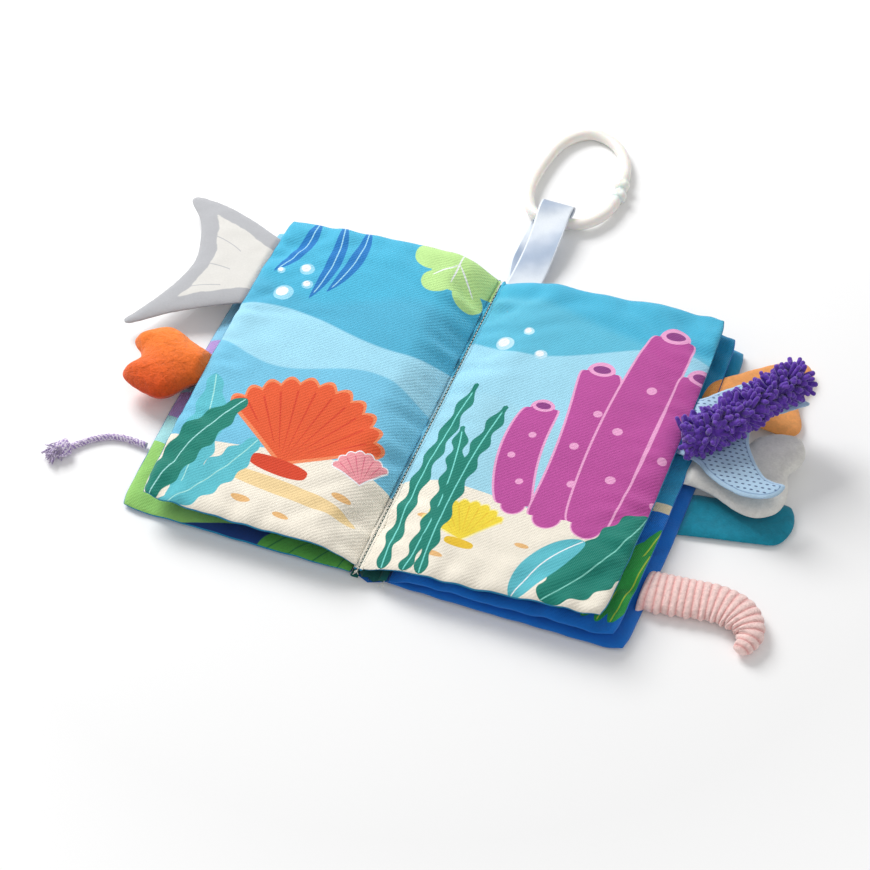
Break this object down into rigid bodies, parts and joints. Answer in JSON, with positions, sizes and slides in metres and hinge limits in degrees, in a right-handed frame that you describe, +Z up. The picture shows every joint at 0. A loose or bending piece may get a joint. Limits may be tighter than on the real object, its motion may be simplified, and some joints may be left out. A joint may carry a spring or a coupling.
{
  "type": "baby activity book",
  "caption": "Soft cloth activity book lying open: padded leaves sewn at the spine, stuffed tails on the leaf edges, a knotted cord and a ribbon loop with a link ring.",
  "frame": {"origin": "underside of the spine cloth, below the middle seam, half way along the book", "axes": "+Z up from the surface the book lies on, +X to the right-hand page, +Y to the head of the book where the ribbon is sewn"},
  "size_m": [0.4086, 0.3835, 0.0484],
  "materials": {
    "page_print": "printed woven polyester",
    "cover_print": "printed woven polyester",
    "blue_cloth": "dyed woven polyester",
    "wadding": "soft polyester wadding",
    "crinkle_film": "thin crackling film",
    "thread": "twisted sewing thread",
    "silver_cloth": "smooth woven polyester",
    "dotted_cotton": "printed cotton",
    "orange_felt": "brushed felt",
    "teal_velour": "short velour pile",
    "orange_plush": "short plush pile",
    "grey_plush": "short plush pile",
    "purple_chenille": "looped chenille tufts",
    "pink_corduroy": "wide wale corduroy",
    "cord": "twisted two-colour cotton",
    "satin_ribbon": "satin",
    "ring_plastic": "smooth moulded plastic"
  },
  "bodies": {
    "spine_and_back_cover": {"back_cover_front_cloth": "blue_cloth", "back_cover_back_cloth": "blue_cloth", "back_cover_crinkle_film": "crinkle_film", "back_cover_wadding": "wadding", "spine_cloth": "blue_cloth", "spine_seam_allowance": "blue_cloth", "middle_seam_thread": "thread", "rear_seam_thread": "thread"},
    "front_cover": {"front_cover_front_cloth": "cover_print", "front_cover_back_cloth": "blue_cloth", "front_cover_crinkle_film": "crinkle_film", "front_cover_wadding": "wadding", "cord": "cord", "cord_knot": "cord"},
    "left_page": {"left_page_front_cloth": "page_print", "left_page_back_cloth": "blue_cloth", "left_page_crinkle_film": "crinkle_film", "left_page_wadding": "wadding", "left_page_fold": "page_print"},
    "inner_page": {"inner_page_front_cloth": "cover_print", "inner_page_back_cloth": "blue_cloth", "inner_page_crinkle_film": "crinkle_film", "inner_page_wadding": "wadding"},
    "right_page": {"right_page_front_cloth": "page_print", "right_page_back_cloth": "blue_cloth", "right_page_crinkle_film": "crinkle_film", "right_page_wadding": "wadding", "right_page_fold": "page_print"},
    "forked_fin": {"forked_fin_front_cloth": "silver_cloth", "forked_fin_back_cloth": "silver_cloth", "forked_fin_wadding": "wadding"},
    "plush_claw": {"plush_claw_cover": "orange_plush", "plush_claw_filling": "wadding"},
    "dotted_fluke": {"dotted_fluke_front_cloth": "dotted_cotton", "dotted_fluke_back_cloth": "dotted_cotton", "dotted_fluke_wadding": "wadding"},
    "chenille_arm": {"chenille_arm_cover": "purple_chenille", "chenille_arm_filling": "wadding"},
    "felt_fish_tail": {"felt_fish_tail_front_cloth": "orange_felt", "felt_fish_tail_back_cloth": "orange_felt", "felt_fish_tail_wadding": "wadding"},
    "grey_fluke": {"grey_fluke_cover": "grey_plush", "grey_fluke_filling": "wadding"},
    "velour_flipper": {"velour_flipper_front_cloth": "teal_velour", "velour_flipper_back_cloth": "teal_velour", "velour_flipper_wadding": "wadding"},
    "corduroy_curl": {"corduroy_curl_cover": "pink_corduroy", "corduroy_curl_filling": "wadding"},
    "ribbon_loop": {"ribbon_loop": "satin_ribbon"},
    "link_ring": {"link_ring": "ring_plastic"}
  },
  "joints": [
    {"name": "front_cover_turn", "type": "hinge", "parent": "spine_and_back_cover", "child": "front_cover", "pos_m": [0, 0, 0.0085], "axis": [0, 1, 0], "range_deg": [0, 50]},
    {"name": "left_page_turn", "type": "hinge", "parent": "front_cover", "child": "left_page", "pos_m": [0, 0, 0.0085], "axis": [0, 1, 0], "range_deg": [0, 58]},
    {"name": "inner_page_turn", "type": "hinge", "parent": "spine_and_back_cover", "child": "inner_page", "pos_m": [0, 0, 0.0085], "axis": [0, 1, 0], "range_deg": [-35, 0]},
    {"name": "right_page_turn", "type": "hinge", "parent": "inner_page", "child": "right_page", "pos_m": [0, 0, 0.0085], "axis": [0, 1, 0], "range_deg": [-70, 0]},
    {"name": "forked_fin_lift", "type": "hinge", "parent": "left_page", "child": "forked_fin", "pos_m": [-0.1336, 0.066, 0.0177], "axis": [0, 1, 0], "range_deg": [0, 40]},
    {"name": "plush_claw_lift", "type": "hinge", "parent": "left_page", "child": "plush_claw", "pos_m": [-0.1329, -0.014, 0.0177], "axis": [0, 1, 0], "range_deg": [0, 45]},
    {"name": "dotted_fluke_lift", "type": "hinge", "parent": "right_page", "child": "dotted_fluke", "pos_m": [0.1377, 0.033, 0.0214], "axis": [0, -1, 0], "range_deg": [0, 25]},
    {"name": "chenille_arm_lift", "type": "hinge", "parent": "dotted_fluke", "child": "chenille_arm", "pos_m": [0.1378, 0.018, 0.0219], "axis": [0, -1, 0], "range_deg": [0, 45]},
    {"name": "felt_fish_tail_lift", "type": "hinge", "parent": "inner_page", "child": "felt_fish_tail", "pos_m": [0.1453, 0.071, 0.0121], "axis": [0, -1, 0], "range_deg": [0, 12]},
    {"name": "grey_fluke_lift", "type": "hinge", "parent": "inner_page", "child": "grey_fluke", "pos_m": [0.1458, 0.012, 0.0121], "axis": [0, -1, 0], "range_deg": [0, 7]},
    {"name": "velour_flipper_lift", "type": "hinge", "parent": "spine_and_back_cover", "child": "velour_flipper", "pos_m": [0.1515, -0.016, 0.0044], "axis": [0, -1, 0], "range_deg": [0, 3]},
    {"name": "corduroy_curl_lift", "type": "hinge", "parent": "spine_and_back_cover", "child": "corduroy_curl", "pos_m": [0.1507, -0.073, 0.0034], "axis": [0, -1, 0], "range_deg": [0, 60]},
    {"name": "ribbon_lift", "type": "hinge", "parent": "spine_and_back_cover", "child": "ribbon_loop", "pos_m": [0.011, 0.1163, 0.0034], "axis": [1, 0, 0], "range_deg": [0, 60]},
    {"name": "ring_swing", "type": "hinge", "parent": "ribbon_loop", "child": "link_ring", "pos_m": [0.011, 0.1776, 0.00555], "axis": [1, 0, 0], "range_deg": [0, 35]}
  ]
}
